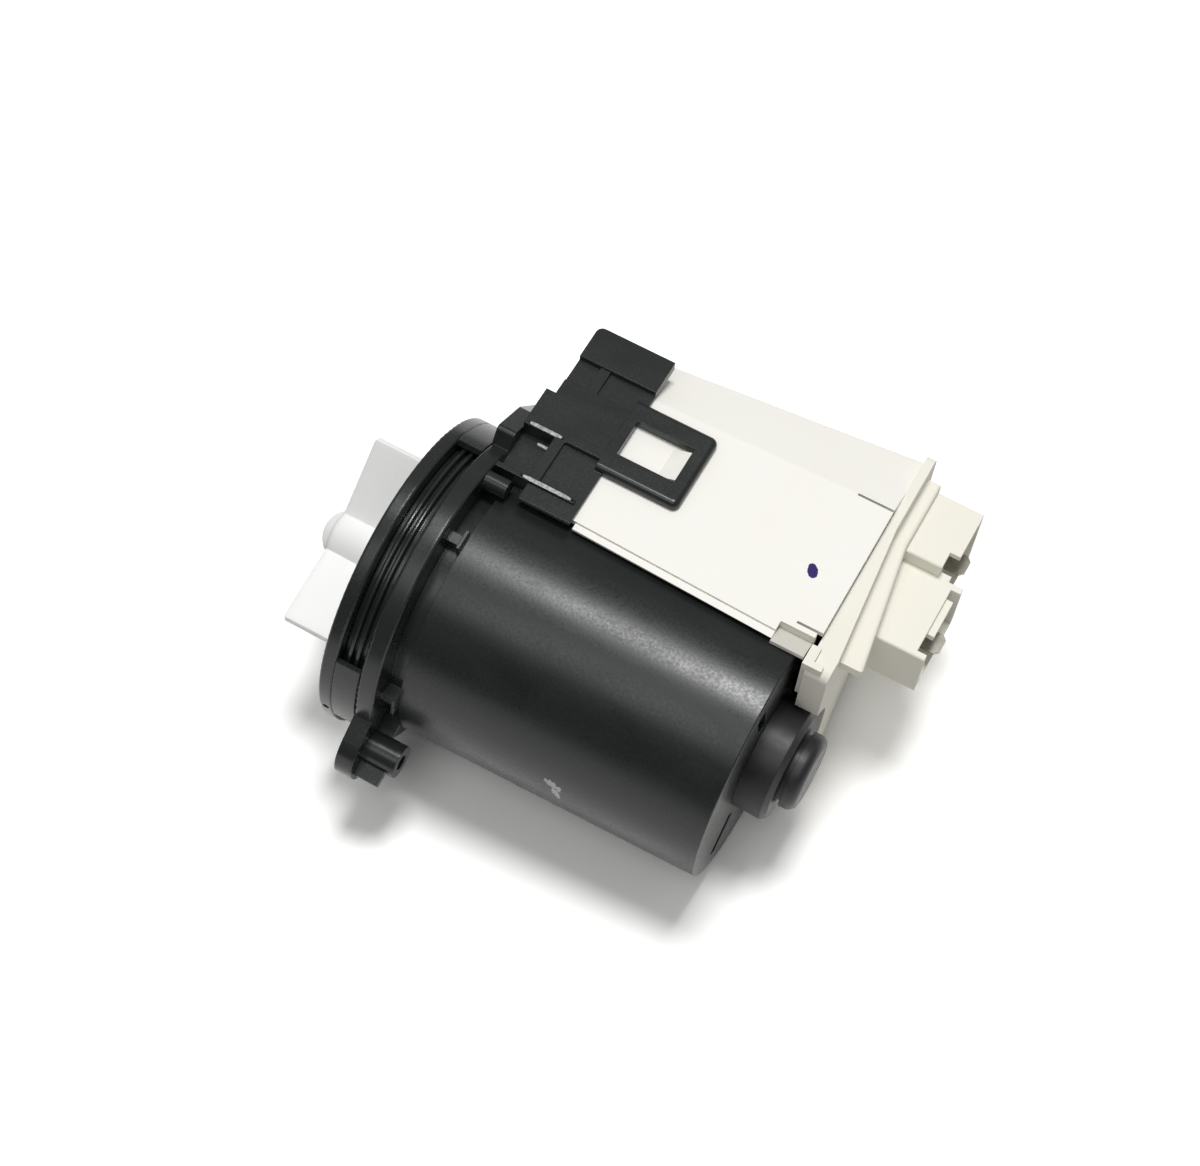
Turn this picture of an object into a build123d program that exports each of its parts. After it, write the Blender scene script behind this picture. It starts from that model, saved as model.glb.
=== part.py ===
from build123d import *
from math import acos, cos, degrees, radians, sin, sqrt
import os

os.makedirs("parts", exist_ok=True)

# A drain pump with a permanent magnet motor, in millimetres.
# The pump's axis is X: the impeller points to -X and the rubber foot to +X. The coils lie on the +Y side.
# The origin is on the axis, in the front face of the flange plate that is screwed to the sump.

# Fits and clearances
RUNNING_FIT = 0.05
SEAT_GAP = 0.1
ASSEMBLY_GAP = 0.3
COVER_GAP = 0.6
OVERRUN = 2.0

# Flange, groove and neck of the pump body
RIM_RADIUS = 45.0
RIM_THICKNESS = 4.2
GROOVE_WIDTH = 7.0
GROOVE_DEPTH = 5.5
PLATE_THICKNESS = 5.2
NECK_LENGTH = 4.5
SPIGOT_GAP = 0.15
SPIGOT_WALL = 2.9
SPIGOT_DEPTH = 8.0
FRONT_WALL = 6.7
FRONT_WEB = 3.0
RIM_BLEND = 0.8

# Bridges between the rim and the plate: the angles at which each starts and ends
BRIDGE_DEPTH = 1.9
BRIDGE_ANGLES = ((24.0, 62.0), (157.0, 190.0), (260.0, 296.0))
DIMPLE_RADIUS = 1.0
DIMPLE_DEPTH = 3.0
DIMPLE_ANGLE = 186.0

# Screw ears
SCREW_SPACE = 2.5
SCREW_HOLE_RADIUS = 2.2
EAR_RADIUS = 10.0
EAR_ROOT_RADIUS = 16.0
EAR_ROOT_SPACE = 1.0
EAR_ANGLE = 195.0
EAR_COUNT = 2
BOSS_RADIUS = 4.7
BOSS_LENGTH = 9.5
BOSS_RIB = 2.4
LUG_CORNER_RADIUS = 1.5
LUG_OUTER_SPACE = 7.0
LUG_OUTER_ANGLE = 39.5
LUG_INNER_SPACE = 4.2
LUG_INNER_ANGLE = 53.0

# Small lugs round the neck that hold the motor cover
NECK_LUG_ANGLES = (97.0, 171.0, 277.0, 351.0)
NECK_LUG_WIDTH = 3.0
NECK_LUG_RISE = 1.15
NECK_FIN_WIDTH = 5.6
NECK_FIN_THICKNESS = 0.9
NECK_FIN_RISE = 2.75

# Rotor and its chamber
MAGNET_FRONT_SPACE = 31.3
MAGNET_REAR_SPACE = 18.4
MAGNET_RADIUS = 12.0
CORE_RADIUS = 5.0
CORE_FLANGE_RADIUS = 10.5
CORE_FLANGE = 0.8
SHAFT_RADIUS = 2.0
CHAMBER_RADIUS = 13.2
CHAMBER_WALL = 1.4
CHAMBER_END_WALL = 1.6
BEARING_RADIUS = 5.0
BEARING_LENGTH = 7.0
BEARING_CHAMFER = 0.5
BEARING_SPACE = 2.5
SHAFT_END_SPACE = 0.6

# Chamber cover and shaft seal
SEAL_RADIUS = 8.0
SEAL_LENGTH = 5.0
SEAL_LIP = 1.2
SEAL_HOLLOW_RADIUS = 5.6
COVER_SHOULDER = 2.0
COVER_SHOULDER_BORE = 3.5
COVER_SLEEVE_BORE = 10.5

# Impeller and its coupling
IMPELLER_GAP = 1.0
HUB_LENGTH = 20.1
HUB_FRONT_RADIUS = 6.8
HUB_REAR_RADIUS = 7.2
HUB_REAR_WALL = 3.0
HUB_BORE = 5.4
CAP_HEIGHT = 4.0
CAP_PLUG = 2.0
BLADE_COUNT = 3
BLADE_TIP_RADIUS = 31.2
BLADE_LENGTH = 19.6
BLADE_THICKNESS = 2.0
BLADE_SLOPE = 2.0
BLADE_BLEND = 0.6
BLADE_ANGLE = 55.0
DOG_COLLAR_RADIUS = 3.2
DOG_TIP_RADIUS = 5.0
STOP_ROOT_RADIUS = 3.7
DOG_HALF_ANGLE = 25.0
DOG_LENGTH = 8.5
DOG_SPACE = 1.5
DAMPER_LENGTH = 1.4
DAMPER_BORE = 2.4

# Motor cover
COVER_STEP = 6.35
COVER_TAPER = 1.15
COVER_LENGTH = 87.7
COVER_WALL = 2.6
COVER_END_WALL = 3.0
COVER_EDGE_BLEND = 0.5
WINDOW_DROP = 7.15
WINDOW_SPACE = 1.2
SLOT_WIDTH = 4.0
SLOT_ANGLE = 222.0
SLOT_COUNT = 3
SLOT_INNER_RADIUS = 19.5
SLOT_SPACE = 5.5

# Rubber foot at the rear
FOOT_RADIUS = 16.3
FOOT_LENGTH = 9.5
FOOT_EDGE = 1.4
FOOT_STEP = 1.4
BUTTON_RADIUS = 10.9
BUTTON_LENGTH = 5.6
BUTTON_BLEND = 2.6
FOOT_STEM_RADIUS = 8.0
FOOT_LIP_RADIUS = 10.0
FOOT_LIP = 1.8

# Stator core: two legs side by side, joined by a yoke
STACK_INSET = 1.0
LEG_INNER = 12.0
LEG_TIP = -13.0
YOKE_START = 58.0
YOKE_END = 72.0

# Coils
COIL_SPACE = 1.6
COIL_END = 56.0
BOBBIN_WALL = 1.2
BOBBIN_FLANGE = 1.5
BOBBIN_FLANGE_HEIGHT = 8.0
BOBBIN_GAP = 0.2
WINDING_BUILD = 6.4
WINDING_SPACE = 1.7
WINDING_BLEND = 3.0

# Coil housing: sizes at its front end, and how much they grow towards the rear
HOUSING_FRONT = 17.5
HOUSING_PROUD = 3.6
HOUSING_DROP = 0.35
HOUSING_LOW = 16.1
HOUSING_RIDGE = 58.4
HOUSING_FAR = 75.0
HOUSING_FAR_DROP = 8.3
HOUSING_DRAFT = 2.6
HOUSING_FAR_DRAFT = 8.6
HOUSING_WALL = 1.8
HOUSING_BLEND = 1.4
LONG_EDGE_SHARE = 0.9
LEDGE_WIDTH = 2.4
LEDGE_DROP = 0.7

# Catches on the coil housing for the clips of the pump body
CATCH_LENGTH = 7.0
CATCH_WIDTH = 9.6
CATCH_HEIGHT = 2.5

# Latch tongues at the rear end of the coil housing
TONGUE_PLACE = 16.8
TONGUE_THICKNESS = 1.5
TONGUE_LENGTH = 11.0
TONGUE_END_SPACE = 1.3
TONGUE_SLOT = 0.7
TONGUE_SLOT_LENGTH = 6.0
WEB_GAP = 0.45
WEB_THICKNESS = 1.0
WEB_LOW = 10.9
WEB_END_SPACE = 1.5
FAR_SLOT_PLACE = 60.2
FAR_SLOT_LENGTH = 10.4
FAR_SLOT_WIDTH = 0.7

# Terminal cover: an end plate with a step on it, both thicker towards the motor cover
END_PLATE_LOW = 9.0
END_PLATE_FAR = 83.4
END_PLATE_DROP = 2.9
END_PLATE_THIN = 2.6
END_PLATE_THICK = 6.6
END_SLOPE_LOW = 15.0
END_SLOPE_FAR = 58.0
STEP_LOW = 18.5
STEP_FAR = 79.5
STEP_DROP = 5.9
STEP_THIN = 3.9
STEP_THICK = 6.1
STEP_LIP = 3.0
STEP_BLEND = 1.0
COVER_CORNER = 3.0
FOOT_NOTCH_GAP = 1.2

# L-shaped lugs at the two corners of the terminal cover beside the motor cover
LUG_LEG_OVERHANG = 1.2
LUG_LEG_WIDTH = 2.6
LUG_LEG_LENGTH = 6.2
LUG_FOOT_LENGTH = 4.2
LUG_FOOT_WIDTH = 1.8
LUG_LOW = 9.6
LUG_RISE = 1.4
LUG_DEPTH = 16.0

# Connector: a low bay and a high bay, each round one flat terminal
BAY_BASE = 4.0
BAY_FLOOR = 12.0
BAY_WALL = 1.8
BAY_BLEND = 0.7
LOW_BAY_START = 33.9
LOW_BAY_WIDTH = 24.4
LOW_BAY_HEIGHT = 18.0
LOW_BAY_LENGTH = 12.3
LOW_BAY_CUTBACK = 2.8
HIGH_BAY_WIDTH = 20.6
HIGH_BAY_HEIGHT = 23.0
HIGH_BAY_LENGTH = 8.0
HIGH_BAY_NOTCH_LENGTH = 3.0
HIGH_BAY_NOTCH_WIDTH = 5.4
KEY_WIDTH = 12.0
KEY_START = 42.4
KEY_THICKNESS = 2.0
KEY_SETBACK = 0.8
LOW_TERMINAL_PLACE = 45.2
HIGH_TERMINAL_PLACE = 70.2
TERMINAL_WIDTH = 6.3
TERMINAL_THICKNESS = 0.8
TERMINAL_TAIL = 3.3
TERMINAL_PROUD = 1.8
TERMINAL_TIP = 1.2
TERMINAL_HEIGHT = 12.6

# Thermal protector on the upper coil
PROTECTOR_LENGTH = 16.0
PROTECTOR_WIDTH = 9.0
PROTECTOR_THICKNESS = 4.0
PROTECTOR_BLEND = 0.8

# Cradle on the pump body that carries the coil housing, above and below
CRADLE_REAR = 31.0
CRADLE_GAP = 0.2
CRADLE_PLATE = 2.4
CRADLE_LOW = 33.8
CRADLE_GROOVE_LOW = 51.0
CRADLE_GROOVE_FAR = 59.0
CRADLE_FAR = 70.0
CRADLE_GROOVE_DROP = 1.0
CRADLE_BLOCK_RISE = 0.8
CRADLE_BLOCK_BLEND = 2.0
CRADLE_WALL = 3.0
CRADLE_WALL_LOW = 20.0
CRADLE_WALL_FAR = 66.0
CRADLE_SETBACK = 2.8
CRADLE_STEP = 46.0
CRADLE_RIB = 2.4
CRADLE_RIB_FAR = 58.0
CRADLE_RIB_SHARES = (-0.66, -0.33, 0.0, 0.33, 0.66)
ARM_RIB_FRONT = 18.0
ARM_RIB_FAR = 36.8
ARM_RIB_RISE = 0.5
LOWER_BLOCK_FRONT = 15.0
LOWER_BLOCK_REAR = 30.2
LOWER_BLOCK_LOW = 13.6
LOWER_BLOCK_PLATE = 1.2
POCKET_FLOOR_DROP = 2.7
POCKET_FLOOR = 1.2
POCKET_LOW = 18.8
POCKET_FAR = 33.8
RIB_WIDTH = 1.4
RIB_RISE = 2.1
RIB_REAR = 28.4
NECK_RIB_RADIUS = 2.6
NECK_RIB_ANGLE = 70.0
NECK_RIB_SPACE = 3.35
NECK_RIB_LENGTH = 6.5

# Clip frames at the end of the cradle
CLIP_REAR = 52.2
CLIP_LOW = 31.0
CLIP_FAR = 55.2
CLIP_WINDOW_REAR = 48.0
CLIP_WINDOW_LOW = 37.4
CLIP_WINDOW_FAR = 49.0
CLIP_LIFT = 0.5
CLIP_THICKNESS = 2.6
CLIP_CORNER = 2.0
CLIP_ARM_BLEND = 1.6

# Seal ring in the groove
SEAL_BASE = 1.5
SEAL_RIB_RISE = 3.2
SEAL_RIB_WIDTH = 1.3
SEAL_RIB_BLEND = 0.5
SEAL_RIB_SHARES = (0.31, 0.63)
SEAL_SIDE_GAP = 0.15

# Places worked out from the sizes
rim_front = -(GROOVE_WIDTH + RIM_THICKNESS)
cover_front = PLATE_THICKNESS + NECK_LENGTH
cover_rear = cover_front + COVER_LENGTH
groove_floor_radius = RIM_RADIUS - GROOVE_DEPTH
front_hollow_radius = groove_floor_radius - FRONT_WALL
seal_base_radius = groove_floor_radius + SEAL_BASE
seal_rib_radius = groove_floor_radius + SEAL_RIB_RISE
screw_circle_radius = RIM_RADIUS + SCREW_SPACE
ear_root_place = RIM_RADIUS - EAR_ROOT_RADIUS - EAR_ROOT_SPACE
lug_outer_corner = RIM_RADIUS + LUG_OUTER_SPACE
lug_inner_corner = RIM_RADIUS + LUG_INNER_SPACE
cover_front_radius = RIM_RADIUS - COVER_STEP
cover_rear_radius = cover_front_radius - COVER_TAPER
window_half_height = cover_front_radius - WINDOW_DROP
slot_outer_radius = cover_rear_radius - SLOT_SPACE
spigot_radius = cover_front_radius - COVER_WALL - SPIGOT_GAP
neck_lug_top = cover_front_radius + NECK_LUG_RISE
neck_fin_top = cover_front_radius + NECK_FIN_RISE
neck_rib_place = cover_front_radius + NECK_RIB_SPACE
housing_rear = cover_rear + HOUSING_PROUD
housing_half_height = cover_front_radius - HOUSING_DROP
housing_far_half_height = housing_half_height - HOUSING_FAR_DROP
web_inner = cover_rear_radius + WEB_GAP
web_outer = web_inner + WEB_THICKNESS
tongue_far = TONGUE_PLACE + TONGUE_THICKNESS
tongue_bottom = sqrt((web_inner + WEB_THICKNESS / 2) ** 2 - tongue_far**2)
end_plate_half_height = housing_half_height - END_PLATE_DROP
step_half_height = end_plate_half_height - STEP_DROP
spigot_rear = cover_front + SPIGOT_DEPTH
chamber_outer = CHAMBER_RADIUS + CHAMBER_WALL
magnet_front = cover_front + MAGNET_FRONT_SPACE
magnet_rear = cover_rear - MAGNET_REAR_SPACE
magnet_length = magnet_rear - magnet_front
rotor_centre = (magnet_front + magnet_rear) / 2
front_bearing_rear = magnet_front - BEARING_SPACE
front_bearing_front = front_bearing_rear - BEARING_LENGTH
rear_bearing_front = magnet_rear + BEARING_SPACE
rear_bearing_rear = rear_bearing_front + BEARING_LENGTH
chamber_rear = rear_bearing_rear + CHAMBER_END_WALL
hub_rear = rim_front - IMPELLER_GAP
hub_front = hub_rear - HUB_LENGTH
hub_floor = hub_rear - HUB_REAR_WALL
damper_front = hub_floor - DAMPER_LENGTH
dog_rear = damper_front - DOG_SPACE
dog_front = dog_rear - DOG_LENGTH
stack_length = magnet_length - 2 * STACK_INSET
stack_front = rotor_centre - stack_length / 2
leg_outer = housing_half_height - HOUSING_WALL - WINDING_SPACE - WINDING_BUILD - BOBBIN_WALL - BOBBIN_GAP
coil_start = sqrt(cover_front_radius**2 - window_half_height**2) + COIL_SPACE
leg_centre = (LEG_INNER + leg_outer) / 2
bobbin_half_x = stack_length / 2 + BOBBIN_GAP + BOBBIN_WALL
winding_front = rotor_centre - bobbin_half_x - WINDING_BUILD
winding_rear = rotor_centre + bobbin_half_x + WINDING_BUILD
bay_floor = housing_rear + BAY_FLOOR
high_bay_start = LOW_BAY_START + LOW_BAY_WIDTH
low_bay_rear = bay_floor + LOW_BAY_LENGTH
high_bay_rear = bay_floor + HIGH_BAY_LENGTH
cradle_top = housing_half_height + CRADLE_GAP + CRADLE_PLATE
clip_bottom = housing_half_height + CLIP_LIFT
cover_bore_gap = cover_front_radius + COVER_GAP


# Shared shapes
def disc(x, radius, length, mode=Mode.ADD):
    """A round disc on the pump's axis, from x on."""
    with BuildSketch(Plane.YZ.offset(x)) as outline:
        Circle(radius)
    extrude(outline.sketch, amount=length, mode=mode)


def ring(x, outer, inner, length, mode=Mode.ADD):
    """A round ring on the pump's axis, from x on."""
    with BuildSketch(Plane.YZ.offset(x)) as outline:
        Circle(outer)
        Circle(inner, mode=Mode.SUBTRACT)
    extrude(outline.sketch, amount=length, mode=mode)


def block(low, high, mode=Mode.ADD):
    """A box between two opposite corners."""
    middle = tuple((a + b) / 2 for a, b in zip(low, high))
    size = tuple(abs(b - a) for a, b in zip(low, high))
    with Locations(middle):
        Box(*size, mode=mode)


def side_block(side, low, high, mode=Mode.ADD):
    """A box given for the upper side, or its mirror image below."""
    block((low[0], low[1], side * low[2]), (high[0], high[1], side * high[2]), mode)


def spot(radius, angle):
    """A point in the YZ plane at a radius and an angle from +Y towards +Z."""
    return (radius * cos(radians(angle)), radius * sin(radians(angle)))


def sector(x, outer, inner, start, end, length, mode=Mode.ADD):
    """A piece of a ring between two angles."""
    reach = outer / cos(radians((end - start) / 2)) + OVERRUN
    with BuildSketch(Plane.YZ.offset(x)) as outline:
        Circle(outer)
        Circle(inner, mode=Mode.SUBTRACT)
        with BuildLine():
            Polyline((0, 0), spot(reach, start), spot(reach, (start + end) / 2), spot(reach, end), (0, 0))
        make_face(mode=Mode.INTERSECT)
    extrude(outline.sketch, amount=length, mode=mode)


def radial_bar(x, length, inner, outer, width, angle, mode=Mode.ADD):
    """A bar that stands on the axis at an angle, between two radii."""
    place = Location((*spot((inner + outer) / 2, angle), 0), (0, 0, angle))
    with BuildSketch(Plane.YZ.offset(x)) as outline:
        with Locations(place):
            Rectangle(outer - inner, width)
    extrude(outline.sketch, amount=length, mode=mode)


def circles_of(radius):
    """The round edges of the open part that have this radius."""
    circles = edges().filter_by(GeomType.CIRCLE)
    return circles.filter_by(lambda edge: abs(edge.radius - radius) < SEAT_GAP)


def axis_plane(angle):
    """The plane through the pump's axis at an angle: its X runs along the axis and its Y is the radius."""
    return Plane(origin=(0, 0, 0), x_dir=(1, 0, 0), z_dir=(0, -sin(radians(angle)), cos(radians(angle))))


# Pump body: rim, seal groove, flange plate, spigot and rotor chamber
def body_round_parts():
    with BuildSketch(Plane.XY) as outline:
        with BuildLine():
            Polyline(
                (rim_front, CHAMBER_RADIUS),
                (rim_front, RIM_RADIUS),
                (-GROOVE_WIDTH, RIM_RADIUS),
                (-GROOVE_WIDTH, groove_floor_radius),
                (0, groove_floor_radius),
                (0, RIM_RADIUS),
                (PLATE_THICKNESS, RIM_RADIUS),
                (PLATE_THICKNESS, spigot_radius),
                (spigot_rear, spigot_radius),
                (spigot_rear, spigot_radius - SPIGOT_WALL),
                (PLATE_THICKNESS, spigot_radius - SPIGOT_WALL),
                (PLATE_THICKNESS, front_hollow_radius),
                (rim_front + FRONT_WEB, front_hollow_radius),
                (rim_front + FRONT_WEB, chamber_outer),
                (chamber_rear, chamber_outer),
                (chamber_rear, 0),
                (rear_bearing_rear, 0),
                (rear_bearing_rear, CHAMBER_RADIUS),
                (rim_front, CHAMBER_RADIUS),
            )
        make_face()
    revolve(outline.sketch, axis=Axis.X)
    fillet(circles_of(RIM_RADIUS), radius=RIM_BLEND)


def body_bridges():
    for start, end in BRIDGE_ANGLES:
        sector(-GROOVE_WIDTH, RIM_RADIUS, RIM_RADIUS - BRIDGE_DEPTH, start, end, GROOVE_WIDTH)


# Screw ears with their bosses and ribs
def ear_angles():
    return [EAR_ANGLE + 360.0 * number / EAR_COUNT for number in range(EAR_COUNT)]


def ear_plate(angle):
    with BuildSketch(Plane.YZ) as outline:
        with Locations(spot(ear_root_place, angle)):
            Circle(EAR_ROOT_RADIUS)
        with Locations(spot(screw_circle_radius, angle)):
            Circle(EAR_RADIUS)
        make_hull()
        Circle(groove_floor_radius, mode=Mode.SUBTRACT)
    extrude(outline.sketch, amount=PLATE_THICKNESS)


def lug_corner_plate(angle):
    """The ear beside the cradle is wider: its outline runs out to two corners."""
    with BuildSketch(Plane.YZ) as outline:
        with Locations(spot(screw_circle_radius, angle)):
            Circle(EAR_RADIUS)
        with Locations(spot(lug_outer_corner, LUG_OUTER_ANGLE), spot(lug_inner_corner, LUG_INNER_ANGLE)):
            Circle(LUG_CORNER_RADIUS)
        with Locations(spot(ear_root_place, angle)):
            Circle(EAR_ROOT_RADIUS)
        make_hull()
        Circle(groove_floor_radius, mode=Mode.SUBTRACT)
    extrude(outline.sketch, amount=PLATE_THICKNESS)


def ear_boss(angle):
    with BuildSketch(Plane.YZ.offset(PLATE_THICKNESS)) as outline:
        with Locations(spot(screw_circle_radius, angle)):
            Circle(BOSS_RADIUS)
    extrude(outline.sketch, amount=BOSS_LENGTH)
    inner_length = NECK_LENGTH - ASSEMBLY_GAP
    radial_bar(
        PLATE_THICKNESS, inner_length, spigot_radius - SPIGOT_WALL / 2, screw_circle_radius, BOSS_RIB, angle
    )
    outer_end = screw_circle_radius + EAR_RADIUS - BOSS_RIB / 2
    radial_bar(PLATE_THICKNESS, BOSS_LENGTH - BOSS_RIB, screw_circle_radius, outer_end, BOSS_RIB, angle)


def ear_hole(angle):
    with BuildSketch(Plane.YZ.offset(-OVERRUN)) as outline:
        with Locations(spot(screw_circle_radius, angle)):
            Circle(SCREW_HOLE_RADIUS)
    extrude(outline.sketch, amount=PLATE_THICKNESS + BOSS_LENGTH + 2 * OVERRUN, mode=Mode.SUBTRACT)


def body_ears():
    for angle in ear_angles():
        ear_plate(angle)
        ear_boss(angle)
    lug_corner_plate(EAR_ANGLE - 180.0)


# Lugs on the neck, and the small hole in the rim
def body_neck_lugs():
    neck_inside = spigot_radius - SPIGOT_WALL / 2
    for angle in NECK_LUG_ANGLES:
        radial_bar(PLATE_THICKNESS, NECK_LENGTH, neck_inside, neck_lug_top, NECK_LUG_WIDTH, angle)
        fin_front = cover_front - NECK_FIN_THICKNESS
        radial_bar(fin_front, NECK_FIN_THICKNESS, neck_inside, neck_fin_top, NECK_FIN_WIDTH, angle)
    with BuildSketch(Plane.YZ.offset(PLATE_THICKNESS)) as outline:
        with Locations(spot(neck_rib_place, NECK_RIB_ANGLE)):
            Circle(NECK_RIB_RADIUS)
    extrude(outline.sketch, amount=NECK_RIB_LENGTH)


def body_dimple():
    middle = rim_front + RIM_THICKNESS / 2
    out = spot(1, DIMPLE_ANGLE)
    foot = spot(RIM_RADIUS - DIMPLE_DEPTH, DIMPLE_ANGLE)
    with BuildSketch(Plane(origin=(middle, *foot), x_dir=(1, 0, 0), z_dir=(0, *out))) as outline:
        Circle(DIMPLE_RADIUS)
    extrude(outline.sketch, amount=DIMPLE_DEPTH + OVERRUN, mode=Mode.SUBTRACT)


# Cradle: one set of plates above the coil housing and one below
def cradle_plates(side):
    bottom = housing_half_height + CRADLE_GAP
    setback = PLATE_THICKNESS + CRADLE_SETBACK
    side_block(side, (PLATE_THICKNESS, CRADLE_LOW, bottom), (CRADLE_REAR, CRADLE_STEP, cradle_top))
    side_block(side, (setback, CRADLE_LOW, bottom), (CRADLE_REAR, CRADLE_GROOVE_LOW, cradle_top))
    groove_top = cradle_top - CRADLE_GROOVE_DROP
    side_block(side, (setback, CRADLE_GROOVE_LOW, bottom), (CRADLE_REAR, CRADLE_GROOVE_FAR, groove_top))
    arm_top = cradle_top + ARM_RIB_RISE
    side_block(side, (ARM_RIB_FRONT, CRADLE_LOW, bottom), (CRADLE_REAR, ARM_RIB_FAR, arm_top))


def cradle_end_block(side):
    """The raised block at the far end, with one rounded corner."""
    bottom = housing_half_height + CRADLE_GAP
    setback = PLATE_THICKNESS + CRADLE_SETBACK
    with BuildSketch(Plane.XY.offset(side * bottom)) as outline:
        with BuildLine():
            Polyline(
                (setback, CRADLE_GROOVE_FAR),
                (CRADLE_REAR, CRADLE_GROOVE_FAR),
                (CRADLE_REAR, CRADLE_FAR),
                (setback, CRADLE_FAR),
                (setback, CRADLE_GROOVE_FAR),
            )
        make_face()
        fillet(vertices().group_by(Axis.Y)[-1].sort_by(Axis.X)[0], radius=CRADLE_BLOCK_BLEND)
    extrude(outline.sketch, amount=side * (CRADLE_PLATE + CRADLE_BLOCK_RISE))


def cradle_lower_block(side):
    """The low part beside the motor cover: a thin plate, a rib along it and a pocket in front of it."""
    bottom = housing_half_height + CRADLE_GAP
    plate_top = bottom + LOWER_BLOCK_PLATE
    floor_top = bottom - POCKET_FLOOR_DROP
    wall_rear = HOUSING_FRONT - CRADLE_GAP
    rib_top = bottom + RIB_RISE
    side_block(side, (LOWER_BLOCK_FRONT, LOWER_BLOCK_LOW, bottom), (LOWER_BLOCK_REAR, CRADLE_LOW, plate_top))
    side_block(side, (LOWER_BLOCK_FRONT, POCKET_LOW, floor_top), (wall_rear, POCKET_FAR, plate_top))
    pocket_floor = (PLATE_THICKNESS, POCKET_LOW, floor_top - POCKET_FLOOR)
    side_block(side, pocket_floor, (wall_rear, POCKET_FAR, floor_top))
    side_block(side, pocket_floor, (wall_rear, POCKET_LOW + RIB_WIDTH, rib_top))
    side_block(side, (LOWER_BLOCK_FRONT, POCKET_LOW, bottom), (RIB_REAR, POCKET_LOW + RIB_WIDTH, rib_top))
    far_rib_start = (PLATE_THICKNESS, POCKET_FAR, floor_top - POCKET_FLOOR)
    side_block(side, far_rib_start, (wall_rear, POCKET_FAR + RIB_WIDTH, rib_top))


def cradle_front_wall():
    """The wall that the housing's front end rests on, and the ribs from it to the flange plate."""
    wall_front = HOUSING_FRONT - CRADLE_WALL
    with BuildSketch(Plane.YZ.offset(wall_front)) as outline:
        with Locations(((CRADLE_WALL_LOW + CRADLE_WALL_FAR) / 2, 0)):
            Rectangle(CRADLE_WALL_FAR - CRADLE_WALL_LOW, 2 * cradle_top)
        Circle(cover_bore_gap, mode=Mode.SUBTRACT)
    extrude(outline.sketch, amount=CRADLE_WALL)
    for share in CRADLE_RIB_SHARES:
        level = share * cradle_top
        with BuildSketch(Plane.YZ.offset(PLATE_THICKNESS)) as outline:
            with Locations((CRADLE_RIB_FAR / 2, level)):
                Rectangle(CRADLE_RIB_FAR, CRADLE_RIB)
            Circle(cover_bore_gap, mode=Mode.SUBTRACT)
        extrude(outline.sketch, amount=wall_front - PLATE_THICKNESS)


def clip_frame(side):
    front = CRADLE_REAR - CRADLE_WALL
    with BuildSketch(Plane.XY.offset(side * clip_bottom)) as outline:
        with Locations(((front + CLIP_REAR) / 2, (CLIP_LOW + CLIP_FAR) / 2)):
            Rectangle(CLIP_REAR - front, CLIP_FAR - CLIP_LOW)
        fillet(vertices().group_by(Axis.X)[-1], radius=CLIP_CORNER)
        with Locations(((CRADLE_REAR + CLIP_WINDOW_REAR) / 2, (CLIP_WINDOW_LOW + CLIP_WINDOW_FAR) / 2)):
            Rectangle(CLIP_WINDOW_REAR - CRADLE_REAR, CLIP_WINDOW_FAR - CLIP_WINDOW_LOW, mode=Mode.SUBTRACT)
    extrude(outline.sketch, amount=side * CLIP_THICKNESS)


def round_clip_arms():
    """The lower arm of each clip frame is rounded along its outer edge."""
    clip_top = clip_bottom + CLIP_THICKNESS
    arm_edges = edges().filter_by(Axis.X)
    arm_edges = arm_edges.filter_by(lambda edge: abs(edge.center().Y - CLIP_LOW) < SEAT_GAP)
    arm_edges = arm_edges.filter_by(lambda edge: abs(abs(edge.center().Z) - clip_top) < SEAT_GAP)
    fillet(arm_edges, radius=CLIP_ARM_BLEND)


with BuildPart() as pump_body:
    body_round_parts()
    body_bridges()
    body_ears()
    body_neck_lugs()
    cradle_front_wall()
    for side in (1, -1):
        cradle_plates(side)
        cradle_end_block(side)
        cradle_lower_block(side)
        clip_frame(side)
    round_clip_arms()
    for angle in ear_angles():
        ear_hole(angle)
    body_dimple()

pump_body.part.label = "pump_body"
export_step(pump_body.part, "parts/pump_body.step")


# Seal ring with two ribs, moulded into the groove
with BuildPart() as flange_seal:
    seal_start = -GROOVE_WIDTH + SEAL_SIDE_GAP
    ring(seal_start, seal_base_radius, groove_floor_radius, GROOVE_WIDTH - 2 * SEAL_SIDE_GAP)
    for share in SEAL_RIB_SHARES:
        rib_start = -GROOVE_WIDTH * (1 - share) - SEAL_RIB_WIDTH / 2
        ring(rib_start, seal_rib_radius, groove_floor_radius, SEAL_RIB_WIDTH)
    fillet(circles_of(seal_rib_radius), radius=SEAL_RIB_BLEND)

flange_seal.part.label = "flange_seal"
export_step(flange_seal.part, "parts/flange_seal.step")


# Motor cover: a cup over the stator poles, open towards the coils
def cover_shell():
    inner_front = cover_front_radius - COVER_WALL
    inner_rear = cover_rear_radius - COVER_WALL
    with BuildSketch(Plane.XY) as outline:
        with BuildLine():
            Polyline(
                (cover_front, inner_front),
                (cover_front, cover_front_radius),
                (cover_rear, cover_rear_radius),
                (cover_rear, FOOT_STEM_RADIUS),
                (cover_rear - COVER_END_WALL, FOOT_STEM_RADIUS),
                (cover_rear - COVER_END_WALL, inner_rear),
                (cover_front, inner_front),
            )
        make_face()
    revolve(outline.sketch, axis=Axis.X)
    fillet(circles_of(cover_rear_radius), radius=COVER_EDGE_BLEND)


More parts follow.
